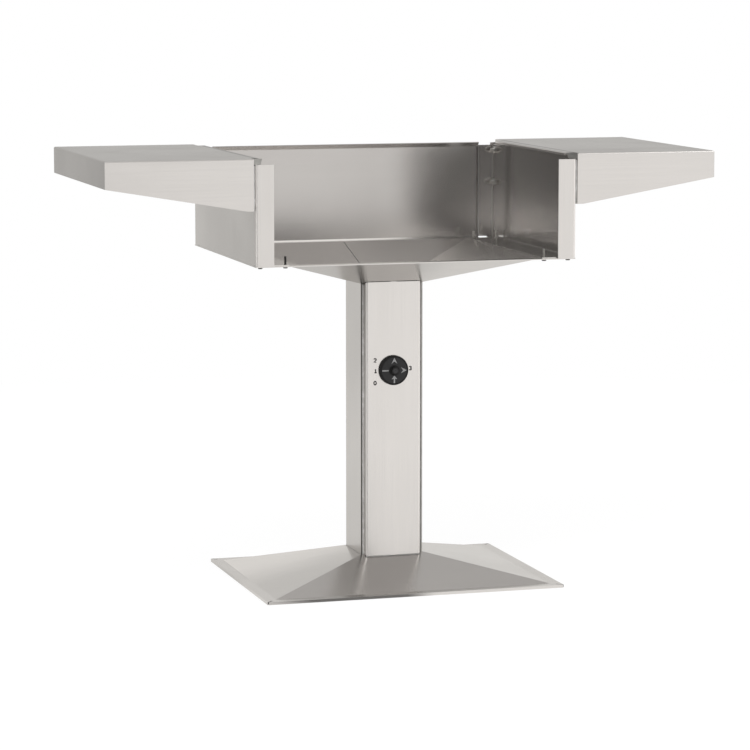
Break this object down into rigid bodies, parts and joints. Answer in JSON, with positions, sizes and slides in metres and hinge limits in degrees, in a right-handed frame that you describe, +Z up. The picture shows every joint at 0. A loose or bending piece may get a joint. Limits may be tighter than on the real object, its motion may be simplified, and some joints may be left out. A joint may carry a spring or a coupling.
{
  "type": "park barbecue pedestal",
  "caption": "Folded stainless pedestal for a park barbecue: hipped plinth, square column with a rotary knob, hipped tray, open-front housing and a folded side table on each wall.",
  "frame": {"origin": "centre of the anchor bolt pattern on the underside of the ground plate, on the floor", "axes": "+X to the right of someone who stands at the knob side, +Y to the back, +Z up"},
  "size_m": [1.283, 0.548, 0.9],
  "materials": {
    "steel_sheet": "brushed",
    "steel_inner": "mill",
    "fastener": "satin",
    "grommet": "matt",
    "moulding": "satin",
    "cap": "satin",
    "contact": "tinned"
  },
  "bodies": {
    "pedestal": {"ground_plate": "steel_inner", "foot_gussets": "steel_inner", "plinth_cover": "steel_sheet", "column_channel": "steel_sheet", "column_head_plate": "steel_inner", "head_bolts": "fastener", "head_washers": "fastener", "head_nuts": "fastener", "column_front_panel": "steel_sheet", "panel_clips": "fastener", "support_tray": "steel_sheet", "service_grommet": "grommet", "rim_bolts": "fastener", "rim_clinch_nuts": "fastener", "side_wall_left": "steel_sheet", "side_wall_right": "steel_sheet", "back_wall": "steel_sheet", "joint_bolts": "fastener", "joint_nuts": "fastener", "table_left": "steel_sheet", "table_right": "steel_sheet", "table_stiffener_left": "steel_inner", "table_stiffener_right": "steel_inner", "table_bolts_left": "fastener", "table_bolts_right": "fastener", "table_spacers_left": "fastener", "table_spacers_right": "fastener", "table_nuts_left": "fastener", "table_nuts_right": "fastener", "switch_housing": "moulding", "switch_terminals": "contact", "switch_mounting_nut": "fastener"},
    "knob": {"control_spindle": "fastener", "control_knob": "moulding", "knob_cap": "cap", "knob_grub_screw": "fastener"}
  },
  "joints": [
    {"name": "knob_turn", "type": "hinge", "parent": "pedestal", "child": "knob", "pos_m": [0, -0.07, 0.445], "axis": [0, 1, 0], "range_deg": [0, 270]}
  ]
}
